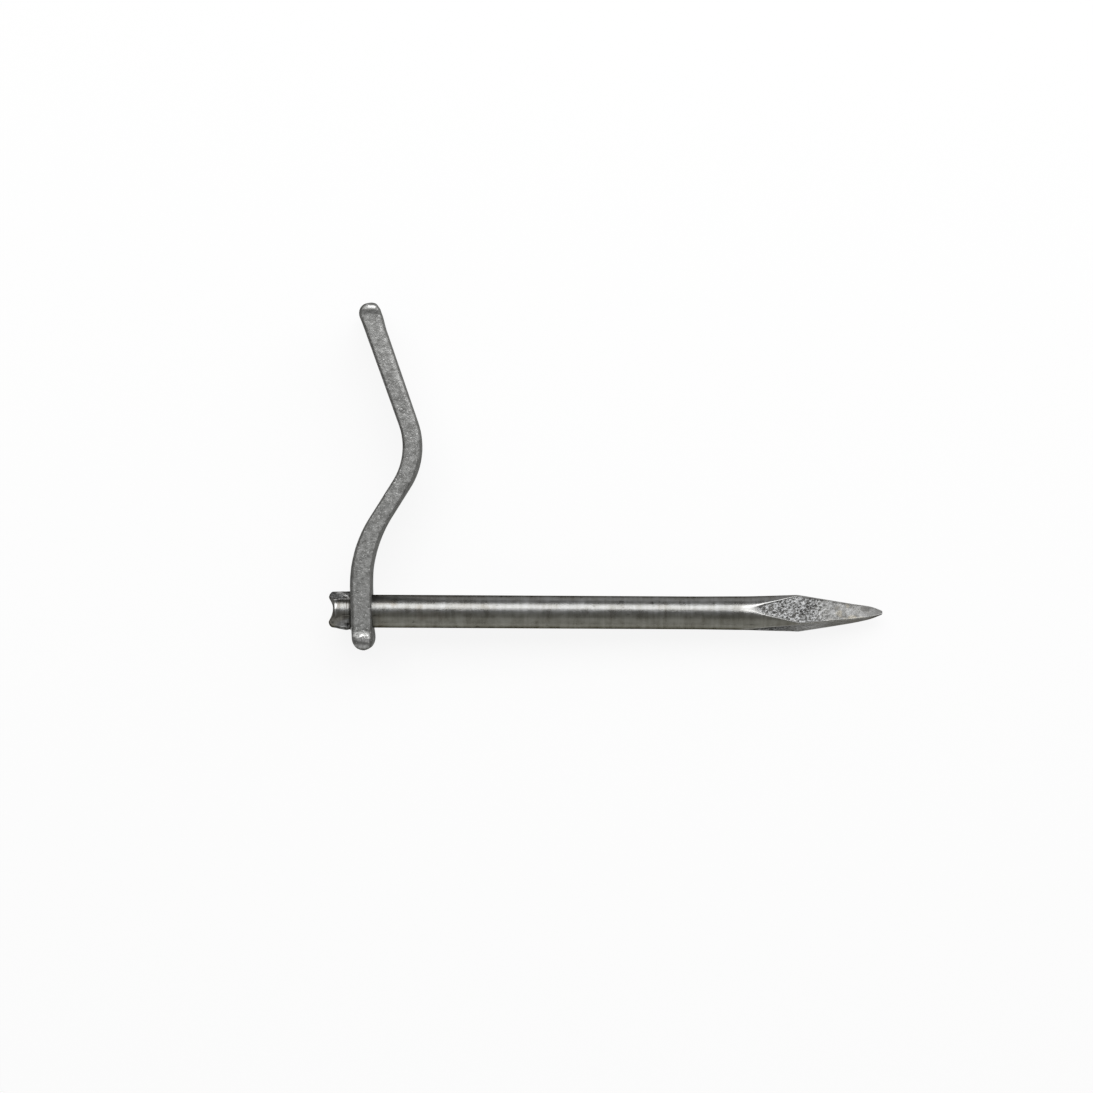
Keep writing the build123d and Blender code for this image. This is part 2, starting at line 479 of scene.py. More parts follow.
@dataclass(frozen=True)
class ForgedSteel:
    """Matt shot-blasted forging: mottled grain with bright specks, darker along its edges with
    painted shade, and with painted highlights on its face.

    The upper side, where most specks are, is given by its heights along Z in metres.
    """

    dark: Colour = (0.170, 0.170, 0.164)
    light: Colour = (0.365, 0.367, 0.360)
    # Colour of the bright specks, and of the painted highlights at the foot and near the top.
    speck_and_highlight: Colour = (0.640, 0.640, 0.630)
    # Colour of the painted highlight spot at the top end.
    painted_gleam: Colour = (0.760, 0.760, 0.750)
    # Colour of the painted shade along the edges and ends.
    edge: Colour = (0.095, 0.093, 0.086)
    rim: Colour = (0.17, 0.17, 0.155)
    roughness: float = 0.50
    upper_side: Pair = (0.020, 0.024)

    def material(self, name: str) -> bpy.types.Material:
        """Makes the finish.

        Args:
            name: Name of the material.

        Returns:
            The material.
        """
        material, graph = new_material(name)
        cloud = graph.noise(120.0, 2.0)
        patch = graph.noise(420.0, 2.0)
        blotch = graph.noise(900.0, 3.0, rough=0.65)
        grain = graph.noise(2600.0, 2.0)
        upper = graph.axis("Z").between(*self.upper_side)
        shine = graph.noise(1300.0, 1.0).between(0.63, 0.73) * (upper * 0.7 + 0.3)
        sparkle = graph.noise(800.0, 3.0, rough=0.6).between(0.43, 0.60)
        rubbed_and_highlight = graph.mark(Mark.RUBBED_AND_HIGHLIGHT) * (sparkle * 0.75 + 0.15)
        highlight_spot = graph.mark(Mark.HIGHLIGHT_SPOT)
        mottle = (blotch * 0.42 + patch * 0.58).between(0.32, 0.68)
        steel = graph.layered(graph.blend(mottle, self.dark, self.light), (
            (cloud * 0.30, self.dark),
            # Painted shade along the edges, round the ends and in a band at the foot.
            (graph.mark(Mark.WORN_AND_SHADED) * (cloud * 0.6 + 0.3), self.edge),
            (shine * 0.5, self.speck_and_highlight),
            # Painted highlights: the bands at the foot and the streak near the top.
            (rubbed_and_highlight, self.speck_and_highlight),
            # Painted highlight: the bright spot at the top end.
            (highlight_spot, self.painted_gleam),
        ))
        rough = self.roughness + blotch * 0.12 - shine * 0.1 - rubbed_and_highlight * 0.25 - highlight_spot * 0.33
        normal = graph.bump(blotch * (1.0 - highlight_spot * 0.8), 0.00017)
        normal = graph.bump(grain, 0.00004, normal)
        graph.metal(steel, rough, normal, self.rim)
        return material


# Bar


@dataclass(frozen=True)
class Ear:
    """Ridge of the staked head, standing out beside the bar's end (millimetres and degrees).

    The rim is the size of the rounding at the bar's end, across the bar and along it.
    """

    side: float
    at_arm: float
    at_end: float
    edge_angle: float = 28.0
    rim: Pair = (2.3, 1.7)

    def reach(self, bar: float, share: Array, around: Array) -> Array:
        """Distance from the bar axis to the ridge: where a ray meets the ridge's own circle.

        The circle leaves the bar's circle at the edge angle; a ray at angle a from its centre line
        meets it at c cos a + sqrt(p^2 - c^2 sin^2 a), with c its centre and p its radius.

        Args:
            bar: Radius of the bar.
            share: 0 at the arm and 1 at the bar's end.
            around: Angle from the ridge's crest.

        Returns:
            The distance, or 0 behind the ridge.
        """
        crest = bar + self.at_arm
        rise = 2.0 * (crest - bar * math.sin(math.radians(self.edge_angle)))
        middle = (crest**2 - bar**2) / rise
        circle = crest - middle
        centre = middle + (self.at_end - self.at_arm) * share
        inside = np.maximum(circle**2 - (centre * np.sin(around)) ** 2, 0.0)
        return np.where(np.cos(around) > 0.0, centre * np.cos(around) + np.sqrt(inside), 0.0)


@dataclass(frozen=True)
class Stroke:
    """Lip, fold or dent that staking left on an ear (millimetres and degrees).

    The turn is counted from the ear's crest on both sides, and the slope adds to it per millimetre
    along the bar. Soot and rubbed say how dark and how bright the stroke looks: the dark is partly
    soot and partly painted shade, and the bright is partly rubbed metal and partly painted highlight.
    """

    side: float
    at: float
    length: float
    turn: float
    width: float
    height: float
    soot_and_shade: float = 0.0
    slope: float = 0.0
    rubbed_and_highlight: float = 0.0


@dataclass(frozen=True)
class Point:
    """Forged four-sided point: where along the bar its facets start, turn and end (millimetres).

    The flats are the facets' distances from the bar axis at the shoulder, the blunting and the tip.
    The tail, a run of little depth before and after the start, leads into each facet.
    """

    bar: float = BAR_RADIUS
    start: float = 139.3
    tail: Pair = (3.8, 3.6)
    tail_depth: float = 0.10
    shoulder: float = 158.5
    blunt: float = 185.6
    tip: float = 190.0
    flats: tuple[float, float, float] = (5.46, 2.0, 0.52)
    wear: float = 0.965
    widening: float = 0.03
    widening_run: Pair = (118.0, 146.0)
    drift: Pair = (0.06, 0.36)
    drift_from: float = 145.0
    drift_end: float = 8.0
    skew: float = 1.2
    swelling_slope: float = 8.0
    roll: float = -15.5
    blunting_sharpness: float = 9.0
    edge_sharpness: float = 110.0

    def flat(self, along: Array) -> Array:
        """Distance from the bar axis to each facet: straight runs between the named stations."""
        run = self.shoulder - self.start
        before, after = self.tail
        lead = self.bar + self.tail_depth * (run - before) / (before + after)
        taper = (self.flats[0] - self.flats[1]) / (self.blunt - self.shoulder)
        onward = self.flats[1] - taper * (self.tip - self.blunt)
        straight = np.interp(
            along,
            [self.start - run, self.start - before, self.start + after, self.shoulder, self.tip],
            [lead, self.bar, self.bar - self.tail_depth, self.flats[0], onward],
        )
        blunting = (self.flats[1] - self.flats[2]) / (self.tip - self.blunt)
        blunted = self.flats[2] + blunting * np.maximum(self.tip - along, 0.0)
        return softer_min(straight, blunted, self.blunting_sharpness)

    def off_corner(self, around: Array) -> Array:
        """Angle from the front upper corner."""
        return around - math.radians(self.roll + 45.0)

    def reach(self, along: Array, around: Array) -> tuple[Array, Array]:
        """Distances from the bar axis to the facets and to the worn corners, along each ray.

        A facet at distance f whose normal is turned by an angle a from a ray lies at f / cos a on it.
        The shoulder comes later round the under side, by half the skew times 1 - cos b with b the
        angle from the front upper corner; that shift fades out on both sides of the shoulder.

        Args:
            along: Stations.
            around: Angles.

        Returns:
            The distance to the facets and that to the corners.
        """
        away = 0.5 - 0.5 * np.cos(self.off_corner(around))
        fade = ease(self.shoulder - 12.0, self.shoulder - 2.0, along)
        fade = fade * ease(self.blunt, self.shoulder + 6.0, along)
        shifted = along - self.skew * away * fade
        turn = wrapped(around - math.radians(self.roll), QUARTER_TURN)
        return self.flat(shifted) / np.cos(turn), self.corner(shifted)

    def sway(self, along: Array) -> tuple[Array, Array]:
        """How the hammering widened the bar before the point and left its tip off the axis.

        The widening grows over its own run, and the drift grows up to the shoulder and again from a
        little before the blunting up to the tip.

        Args:
            along: Stations.

        Returns:
            Factor on the width, and the drift sideways in millimetres; both are smooth steps.
        """
        wide = 1.0 + self.widening * ease(*self.widening_run, along)
        drift = self.drift[0] * ease(self.drift_from, self.shoulder, along)
        return wide, drift + self.drift[1] * ease(self.blunt - self.drift_end, self.tip, along)

    def corner(self, along: Array) -> Array:
        """Distance from the bar axis to the worn corners.

        A cubic swells from the bar's radius, level, to the shoulder at its own slope; beyond it the
        corners run straight to the blunting and the tip, at the wear times root 2 of the facets.
        """
        reach = self.wear * math.sqrt(2.0) * self.flats[0]
        run = self.shoulder - self.start
        share = np.clip((along - self.start) / run, 0.0, 1.0)
        rise = (3.0 * share**2 - 2.0 * share**3) * (reach - self.bar)
        slope = (share**3 - share**2) * run * math.tan(math.radians(self.swelling_slope))
        beyond = self.wear * math.sqrt(2.0) * self.flat(along)
        return np.where(along > self.shoulder, beyond, self.bar + rise + slope)


@dataclass
class StakedBar:
    """Round bar with a head of two ears and a groove at one end and a forged point at the other.

    The point lead is how far before its facets the point's own shape, and then the close stations,
    start. The pits start, thin out and end over three runs along the point, and its bright under
    side starts and ends over two.
    """

    node: str = "pin"
    radius: float = BAR_RADIUS
    head: float = 12.1
    ears: tuple[Ear, Ear] = (Ear(1.0, 1.2, 1.0, 34.0, (2.9, 1.7)), Ear(-1.0, 1.25, -0.3))
    head_roll: float = -7.0
    ear_back: float = -4.02
    rim: float = 1.0
    groove_depth: float = 1.65
    groove_radius: float = 6.7
    groove_offset: float = 0.35
    groove_rim: float = 0.12
    point: Point = Point()
    point_lead: Pair = (12.0, 9.0)
    tip_round: float = 0.10
    pit_depth: float = 0.26
    wave_depth: float = 0.08
    lump_depth: float = 0.20
    pits_from: Pair = (141.0, 146.0)
    pits_thin: Pair = (171.0, 163.0)
    pits_end: Pair = (184.0, 171.0)
    bright_from: Pair = (150.0, 166.0)
    bright_end: Pair = (190.0, 184.0)
    # Lips, folds and dents on the ears. Their soot is partly soot in the folds and partly painted
    # shade, and their rubbed values paint highlights on lips and rims. The strokes of no height only
    # paint: shade over the upper ear's lower flank, and light over the lower ear.
    strokes: tuple[Stroke, ...] = (
        Stroke(1.0, -8.1, 1.3, 20.0, 8.0, 0.24, rubbed_and_highlight=0.95),
        Stroke(1.0, -6.1, 1.5, 32.0, 5.0, 0.26, slope=6.5, rubbed_and_highlight=0.65),
        Stroke(1.0, -10.0, 1.0, 22.0, 8.0, -0.18, 0.65),
        Stroke(1.0, -4.8, 1.3, 20.0, 7.0, -0.20, 0.75),
        Stroke(1.0, -5.6, 2.4, 51.0, 4.5, -0.20, 0.6),
        Stroke(1.0, -9.3, 1.3, 39.0, 5.0, -0.16, 0.35),
        Stroke(1.0, -9.8, 0.9, 53.0, 3.0, 0.08, 0.3),
        Stroke(1.0, -5.2, 1.6, 54.0, 3.5, 0.0, 0.6),
        Stroke(1.0, -7.2, 3.6, 57.0, 4.0, 0.0, 0.75),
        Stroke(1.0, -9.45, 0.30, 85.0, 24.0, 0.09, rubbed_and_highlight=0.9),
        Stroke(-1.0, -8.6, 3.4, 42.0, 20.0, 0.0, rubbed_and_highlight=0.18),
        Stroke(-1.0, -4.1, 0.8, 0.0, 40.0, -0.45, 0.5),
        Stroke(-1.0, -4.75, 0.65, 35.0, 6.5, -0.42, 0.95),
        Stroke(-1.0, -7.1, 1.0, 27.0, 3.6, 0.36, rubbed_and_highlight=1.0),
        Stroke(-1.0, -6.8, 1.8, 17.0, 3.6, -0.20, 0.7),
        Stroke(-1.0, -5.2, 1.3, 64.0, 3.0, -0.14, 0.8),
        Stroke(-1.0, -9.2, 1.2, 58.0, 4.0, 0.10, slope=5.0),
        Stroke(-1.0, -10.6, 0.6, 41.0, 8.0, -0.16, 0.6),
        Stroke(-1.0, -8.4, 1.0, 44.0, 5.0, -0.12, 0.35, slope=-4.0),
    )
    ring: int = 256
    finish: DrawnSteel = DrawnSteel()

    def stations(self) -> Array:
        """Places along the bar beyond the head: wide on the plain shank, close on the point."""
        close = self.point.start - self.point_lead[1]
        return np.concatenate([
            np.array([self.ear_back + 0.02, self.ear_back + 0.08]),
            np.linspace(self.ear_back + 0.5, close, 66),
            np.linspace(close, self.point.tip - 0.12, 236)[1:],
        ])

    def angles(self) -> Array:
        """Angles from +Y towards +Z, evenly round the bar, with one on each corner of the point."""
        return math.radians(self.point.roll + 45.0) + np.arange(self.ring) * (WHOLE_TURN / self.ring)

    def up_head(self, along: Array) -> Array:
        """How far each station lies from the arm, at 0, to the bar's end, at 1."""
        return np.clip((along - self.ear_back) / (-self.head - self.ear_back), 0.0, 1.0)

    def off_crest(self, side: float, around: Array) -> Array:
        """Angle from the crest of the ear on that side."""
        crest = math.radians(self.head_roll + (0.0 if side > 0 else 180.0))
        return wrapped(around - crest, WHOLE_TURN)

    def side(self, along: Array, around: Array) -> Array:
        """Radius of the bar's side: the larger of shank and ears, and the point's own reach on it.

        Args:
            along: Stations, as rows x 1.
            around: Angles, as 1 x ring.

        Returns:
            The radius, as rows x ring.
        """
        radius = np.full(np.broadcast(along, around).shape, self.radius)
        for ear in self.ears:
            reach = ear.reach(self.radius, self.up_head(along), self.off_crest(ear.side, around))
            radius = np.where(along <= self.ear_back, np.maximum(radius, reach), radius)
        pointed = softer_min(*self.point.reach(along, around), self.point.edge_sharpness)
        return np.where(along > self.point.start - self.point_lead[0], pointed, radius)

    def groove(self, across: Array) -> Array:
        """Depth of the groove over the end: a round fuller's circle below the end, with soft rims.

        Args:
            across: Distance from the head's middle plane.

        Returns:
            Depth in millimetres: w log(1 + exp(d / w)), with d the circle's depth and w the rim.
        """
        arc = np.sqrt(np.maximum(self.groove_radius**2 - (across - self.groove_offset) ** 2, 0.0))
        depth = arc - (self.groove_radius - self.groove_depth)
        return self.groove_rim * np.logaddexp(0.0, depth / self.groove_rim)

    def grid(self) -> tuple[Array, Array, Array]:
        """Whole skin in the bar's own terms: end face, rounded rim, side and blunt tip.

        The end face runs out from its middle to the rim, and a quarter of an ellipse, larger on the
        ears, turns it into the side. The groove then pushes the rows along the bar, less and less
        towards the arm.

        Returns:
            Station, radius and angle of each point, as rows x ring.
        """
        around = self.angles()[None, :]
        facing = np.cos(around - math.radians(self.head_roll))
        lobes = [np.clip(ear.side * facing, 0.0, None) ** 3 for ear in self.ears]
        across, back = (
            self.rim + sum((ear.rim[way] - self.rim) * lobe for ear, lobe in zip(self.ears, lobes))
            for way in (0, 1)
        )
        start = -self.head + back
        rim = self.side(start, around)
        out = np.linspace(0.0, 1.0, 15)[:-1, None]
        quarter = np.radians(np.linspace(0.0, 90.0, 12))[:, None]
        head = np.linspace(0.0, 1.0, 44)[1:, None]
        shank = self.stations()[:, None] + 0.0 * around
        side = np.vstack([start + (self.ear_back - start) * head, shank])
        shrink = np.linspace(1.0, 0.0, 5)[1:, None]
        tip = self.side(np.array([[self.point.tip]]), around)
        station = np.vstack([
            -self.head + 0.0 * out * around,
            -self.head + back * (1.0 - np.cos(quarter)),
            side,
            self.point.tip - self.tip_round * shrink**2 + 0.0 * around,
        ])
        radius = np.vstack([
            out * (rim - across),
            rim - across + across * np.sin(quarter),
            self.side(side, around),
            shrink * tip,
        ])
        middle = radius * np.cos(around - math.radians(self.head_roll))
        station = station + self.groove(middle) * self.up_head(station)
        return station, radius, np.broadcast_to(around, radius.shape)

    def facet_relief(self, station: Array, around: Array, own: Array) -> tuple[Array, Marks]:
        """What hammering leaves on the point: close pits near the shoulder, broad waves beyond; and
        painted shade along the bar's flanks.

        Args:
            station: Station of each point.
            around: Angle of each point.
            own: Place of each point in the bar's own axes.

        Returns:
            Depth taken off the radius in millimetres, and the marks for the finish.
        """
        point = self.point
        facets, corners = point.reach(station, around)
        spare = corners - facets
        onset = station - point.start + point.tail[0]
        facet = ease(0.0, 0.15, spare) * ease(0.0, 1.5, onset)
        inner = ease(0.02, 0.35, spare)
        thinned = 0.2 + 0.8 * ease(*self.pits_thin, station)
        coarse = inner * ease(*self.pits_from, station) * thinned * ease(*self.pits_end, station)
        pits = Lumps(3).at(own, 0.95) * 0.5 + Lumps(5).at(own, 0.52) * 0.5
        waves = self.wave_depth * inner * (0.5 + 0.5 * Lumps(8).at(own, 4.0))
        taken = self.pit_depth * coarse * np.clip(pits + 0.15, 0.0, 1.0) + waves

        ridge = ease(0.15, 0.02, np.abs(spare)) * ease(1.0, 5.0, onset)
        upper = ease(0.6, 0.8, np.cos(point.off_corner(around)))
        dulled = ridge * upper * ease(point.shoulder - 2.0, point.shoulder + 6.0, station)
        under = ease(0.68, 0.76, np.cos(around - math.radians(point.roll + 180.0)))
        bright = under * ease(*self.bright_from, station) * ease(*self.bright_end, station)
        # Painted shade along the bar's flanks: heaviest on the +Y flank, fading away from the arm,
        # lighter on the -Y flank.
        flank_shade = ease(0.5, 0.85, np.cos(around)) * (1.0 - 0.45 * ease(10.0, 90.0, station))
        flank_shade = flank_shade + 0.45 * ease(-0.62, -0.85, np.cos(around))
        sooty = 0.85 * coarse * (1.0 - 0.6 * under) * ease(0.14, 0.50, pits)
        return taken, {
            Mark.HAMMERED: facet * (0.18 + 0.82 * coarse),
            Mark.WORN_AND_SHADED: ridge - dulled,
            Mark.SOOT_AND_SHADE: np.maximum(sooty, 0.5 * dulled),
            Mark.FLANK_SHADE: flank_shade * (1.0 - facet),
            Mark.RUBBED_AND_HIGHLIGHT: 0.6 * facet * bright,
        }

    def head_relief(
        self, station: Array, radius: Array, around: Array, own: Array
    ) -> tuple[Array, Marks]:
        """What staking leaves on the head: raised lips, folds, dents and small lumps, with soot,
        painted shade and painted highlights, and painted shade round the bar by the arm.

        Each stroke adds a height times exp(-(s/l)^2 - (a/w)^2), with s and a the distances along the
        bar and round it from the stroke's middle line, which may slope round the bar.

        Args:
            station: Station of each point.
            radius: Radius of each point.
            around: Angle of each point.
            own: Place of each point in the bar's own axes.

        Returns:
            Depth taken off the radius in millimetres, and the marks for the finish.
        """
        raised, dark, rubbed_and_highlight = np.zeros((3, *station.shape))
        for stroke in self.strokes:
            turn = self.off_crest(stroke.side, around)
            middle = stroke.turn + stroke.slope * (station - stroke.at)
            away = (np.degrees(np.abs(turn)) - middle) / stroke.width
            shape = np.exp(-(((station - stroke.at) / stroke.length) ** 2) - away**2)
            raised += stroke.height * shape
            dark = np.maximum(dark, stroke.soot_and_shade * shape)
            rubbed_and_highlight = np.maximum(rubbed_and_highlight, stroke.rubbed_and_highlight * shape)
        off_middle = ease(1.5, 4.0, radius)
        on_head = ease(self.ear_back + 0.3, self.ear_back - 0.3, station) * off_middle
        on_ear = on_head * ease(0.0, 0.5, radius - self.radius)
        # Painted shade round the bar where it meets the arm: strong just behind the arm on the head's
        # side, fainter beyond its other face.
        behind = ease(-4.9, -4.2, station) * ease(-3.0, -3.6, station)
        before = ease(5.2, 4.0, station) * ease(3.0, 3.6, station)
        contact_shade = (0.95 * behind + 0.4 * before) * off_middle
        lumps = np.clip(Lumps(11).at(own, (1.2, 0.9, 0.9)) + 0.2, 0.0, 1.0)
        return self.lump_depth * lumps * on_ear - raised * on_head, {
            Mark.HAMMERED: 0.8 * on_ear,
            Mark.SOOT_AND_SHADE: np.maximum(on_head * dark, contact_shade),
            Mark.RUBBED_AND_HIGHLIGHT: on_head * rubbed_and_highlight,
        }

    def build(self) -> bpy.types.Object:
        """Builds and dresses the bar.

        The point at station s, radius r and angle a lies at hole + s along + r cos a across +
        r sin a up, with the bar's direction taken from its joint.

        Returns:
            The finished piece.
        """
        station, radius, around = self.grid()
        along = Vector(frame["joints"][0]["axis"]) * -1.0
        across = Vector((0.0, 1.0, 0.0))
        up = along.cross(across)
        low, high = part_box("arm")
        hole = np.array([0.0, 0.0, (low[2] + high[2]) / 2.0 / MM])
        own = np.stack([station, radius * np.cos(around), radius * np.sin(around)], -1)
        hammered, marks = self.facet_relief(station, around, own)
        staked, head_marks = self.head_relief(station, radius, around, own)
        for mark, values in head_marks.items():
            marks[mark] = np.maximum(marks[mark], values)
        radius = radius - hammered * ease(0.0, 2.0, radius) - staked
        wide, drift = self.point.sway(station)
        places = (
            hole
            + station[..., None] * np.array(along)
            + (radius * np.cos(around) * wide + drift)[..., None] * np.array(across)
            + (radius * np.sin(around))[..., None] * np.array(up)
        )
        marks = {mark: values[:, ::-1] for mark, values in marks.items()}
        piece = closed_skin("staked_bar", places[:, ::-1], marks)
        piece.data.materials.append(self.finish.material("drawn_steel"))
        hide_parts(self.node)
        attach(piece, self.node)
        return piece


# Arm


@dataclass(frozen=True)
class Run:
    """Straight run of the arm's centre line (millimetres and degrees)."""

    rise: float
    lean: float
    thickness: Pair


@dataclass
class LeverArm:
    """Flat bar bent into an S, rounded at its ends and edges, with a hole for the bar in its foot.

    A pair of pairs holds the foot's values and then the top's, or the lower bend's and then the
    upper's, each for the side of the head and then that of the point. Each painted mark, from the
    band to the streak, is given by its middle and its width: the bands, the spot and the streak are
    painted highlights, and the shade band is painted shade.
    """

    node: str = "arm"
    width: float = 25.0
    foot_drop: float = 14.1
    foot: Run = Run(22.1, -2.0, (7.15, 7.15))
    slant: Run = Run(34.6, 31.8, (5.9, 5.9))
    grip: Run = Run(54.9, -19.7, (6.3, 7.1))
    bends: tuple[Pair, Pair] = ((45.0, 47.0), (23.0, 28.0))
    end_rounds: tuple[Pair, Pair] = ((3.7, 3.2), (4.0, 2.0))
    end_stretch: Pair = (1.3, 1.0)
    corners: Pair = (6.0, 3.0)
    rim: float = 1.0
    rim_share: float = 0.7
    hollow: Pair = (0.90, 0.50)
    spread: tuple[Pair, Pair] = ((-0.15, 0.50), (0.15, 0.35))
    thicker: float = 0.18
    dent_depth: float = 0.07
    batter: Pair = (0.09, 0.22)
    swell_at: Pair = (3.4, 2.3)
    swell_run: Pair = (3.6, 2.4)
    # Painted highlight band at the foot, by its distance from the foot's end.
    band: Pair = (4.9, 1.5)
    band_slant: float = 0.17
    low_band: Pair = (1.5, 0.8)
    # Painted shade band at the foot, by its distance from the foot's end.
    shade_band: Pair = (2.9, 0.75)
    # Painted highlight spot at the top end, by its distance from the end and across the face.
    spot: tuple[Pair, Pair] = ((1.7, 0.42), (1.8, 1.35))
    streak: Pair = (2.35, 0.55)
    hole: float = 6.5
    flare: float = 0.6
    finish: ForgedSteel = ForgedSteel()

    def side(self, hand: int) -> Array:
        """One side of the arm's outline: three lines joined by two arcs, level at both ends.

        Each line is the centre line pushed sideways by half the thickness. An arc of radius r at a
        corner that turns by an angle t starts and ends r tan(t / 2) from the corner.

        Args:
            hand: +1 for the side towards the point, -1 for the other.

        Returns:
            Points from foot to top, close together near both ends, as rows x 2.
        """
        place = Vector((0.0, 0.0))
        lines = []
        for run in (self.foot, self.slant, self.grip):
            way = Vector((math.sin(math.radians(run.lean)), math.cos(math.radians(run.lean))))
            end = place + way * (run.rise / way.y)
            out = Vector((way.y, -way.x)) * hand
            low = place + out * (run.thickness[0] / 2.0)
            high = end + out * (run.thickness[1] / 2.0)
            lines.append((low, (high - low).normalized()))
            place = end
        (low, way), (last, onward) = lines[0], lines[-1]
        knots = [low - way * ((low.y + self.foot_drop) / way.y)]
        arcs = []
        for (first, way), (second, turned), radii in zip(lines, lines[1:], self.bends):
            radius = radii[hand > 0]
            gap = second - first
            cross = way.x * turned.y - way.y * turned.x
            corner = first + way * ((gap.x * turned.y - gap.y * turned.x) / cross)
            turn = math.asin(cross)
            back = radius * math.tan(abs(turn) / 2.0)
            normal = np.array([-way.y, way.x]) * math.copysign(1.0, turn)
            centre = np.array(corner - way * back) + normal * radius
            sweep = np.linspace(0.0, turn, 50)[1:-1]
            spoke = -normal * radius
            arcs.append(centre + np.stack([
                spoke[0] * np.cos(sweep) - spoke[1] * np.sin(sweep),
                spoke[0] * np.sin(sweep) + spoke[1] * np.cos(sweep),
            ], -1))
            knots += [corner - way * back, corner + turned * back]
        knots.append(last + onward * ((self.top() - last.y) / onward.y))
        shares = (
            np.linspace(0.0, 1.0, 80) ** 1.5,
            np.linspace(0.0, 1.0, 40),
            1.0 - np.linspace(1.0, 0.0, 120) ** 1.5,
        )
        a, b, c = (
            np.array(start) + share[:, None] * np.array(end - start)
            for start, end, share in zip(knots[::2], knots[1::2], shares)
        )
        return np.vstack([a, arcs[0], b, arcs[1], c])

    def top(self) -> float:
        """Height of the top end over the middle of the hole."""
        return self.foot.rise + self.slant.rise + self.grip.rise

    def corner_in(self, depth: Array, end: int, hand: int) -> Array:
        """How far a side's end corner is drawn in, at a depth from the level end.

        A circle of radius r touches the end and a side that leans by an angle k: at depth d it lies
        r / cos k - sqrt(r^2 - (r - d)^2) + (r - d) tan k inside the side, down to the depth
        r (1 + sin k) where they touch. The foot's is stretched along the arm.

        Args:
            depth: Depth of each row.
            end: 0 for the foot and 1 for the top.
            hand: +1 for the side towards the point, -1 for the other.

        Returns:
            The draw-in of each row.
        """
        radius = self.end_rounds[end][hand > 0]
        lean = math.radians((self.foot, self.grip)[end].lean) * hand * (-1.0, 1.0)[end]
        left = radius - depth / self.end_stretch[end]
        arc = np.sqrt(np.maximum(radius**2 - left**2, 0.0))
        drawn = radius / math.cos(lean) - arc + left * math.tan(lean)
        return np.where(left > -radius * math.sin(lean), np.maximum(drawn, 0.0), 0.0)

    def edges(self, share: Array) -> tuple[Array, Array]:
        """Radius of the edges on each side: worn rounder at the foot, straight runs between.

        Args:
            share: How far up the arm each row lies, from 0 to 1.

        Returns:
            The radius on the side of the head and on the side of the point.
        """
        left = np.interp(share, (0.30, 0.50, 0.65, 0.90), (1.45, 1.05, 1.05, 1.25))
        right = np.interp(share, (0.045, 0.075, 0.25, 0.45, 0.55), (1.35, 0.45, 0.45, 0.60, 0.80))
        return left, right

    def ring(
        self, left: Array, right: Array, low: Array, high: Array, share: Array
    ) -> tuple[Array, Array, Array]:
        """Rounded rectangle across the arm: straight sides with a quarter circle at each corner.

        Args:
            left: Offset of one side at each row, as rows x 1.
            right: Offset of the other side at each row.
            low: Height of the under side at each row.
            high: Height of the upper side at each row.
            share: How far up the arm each row lies, from 0 to 1.

        Returns:
            Offset across, height, and how far each point is on a corner, as rows x ring.
        """
        wide, tight = (np.minimum(edge, 0.45 * (right - left)) for edge in self.edges(share))
        flat = np.linspace(0.0, 1.0, 27)[:-1]
        tall = np.linspace(0.0, 1.0, 45)[:-1]
        turn = np.linspace(0.0, 90.0, 9)[:-1]
        corners = (
            (right - tight, high - tight, tight),
            (left + wide, high - wide, wide),
            (left + wide, low + wide, wide),
            (right - tight, low + tight, tight),
        )
        offsets, heights, worn_and_shaded = [], [], []
        for number, (x, z, edge) in enumerate(corners):
            angle = np.radians(90.0 * number + turn)
            next_x, next_z, next_edge = corners[(number + 1) % 4]
            along = (flat, tall)[number % 2]
            reach = edge + (next_edge - edge) * along
            push_x, push_z = ((0.0, 1.0), (-1.0, 0.0), (0.0, -1.0), (1.0, 0.0))[number]
            offsets += [x + edge * np.cos(angle), x + (next_x - x) * along + reach * push_x]
            heights += [z + edge * np.sin(angle), z + (next_z - z) * along + reach * push_z]
            worn_and_shaded += [np.sin(2.0 * np.radians(turn)) ** 0.5 + 0.0 * edge, 0.0 * along + 0.0 * edge]
        return np.hstack(offsets), np.hstack(heights), np.hstack(worn_and_shaded)

    def surface(self) -> tuple[Array, Marks]:
        """Whole skin of the arm: the rounded rectangle carried from foot to top, closed at both ends.

        Towards each end the rectangle is drawn in by the circles that round the thickness, the width
        and the rim, and the last rows shrink it to a point. Forging left both ends a little proud of
        the upper side, which falls by a smooth step behind them, and small dents all over.

        Returns:
            Points in millimetres, as rows x ring x 3, and the marks on them.
        """
        sides = {hand: self.side(hand) for hand in (-1, 1)}
        middle = (sides[-1] + sides[1]) / 2.0
        beam = np.linalg.norm(sides[1] - sides[-1], axis=1)
        out = (sides[1] - sides[-1]) / beam[:, None]
        depth = (middle[:, 1:] + self.foot_drop, self.top() - middle[:, 1:])
        reach = {hand: hand * beam[:, None] / 2.0 for hand in (-1, 1)}
        draw = np.zeros_like(depth[0])
        fall = np.zeros_like(depth[0])
        share = depth[0] / (depth[0] + depth[1])
        for end in (0, 1):
            rim = self.rim_share * round_in(depth[end], self.rim)
            draw = draw + round_in(depth[end], self.corners[end]) + rim
            for hand in (-1, 1):
                proud = self.spread[end][hand > 0] * ease(9.0, 3.5, depth[end])
                inward = self.corner_in(depth[end], end, hand) + rim - proud
                reach[hand] = reach[hand] - hand * inward
            swell = self.swell_at[end]
            fall = fall + ease(swell, swell + self.swell_run[end], depth[end])
        reach[1] = reach[1] + self.thicker * ease(30.0, 24.0, depth[0]) * ease(3.0, 6.0, depth[0])
        hollow = self.hollow[0] + (self.hollow[1] - self.hollow[0]) * ease(0.0, 0.5, share)
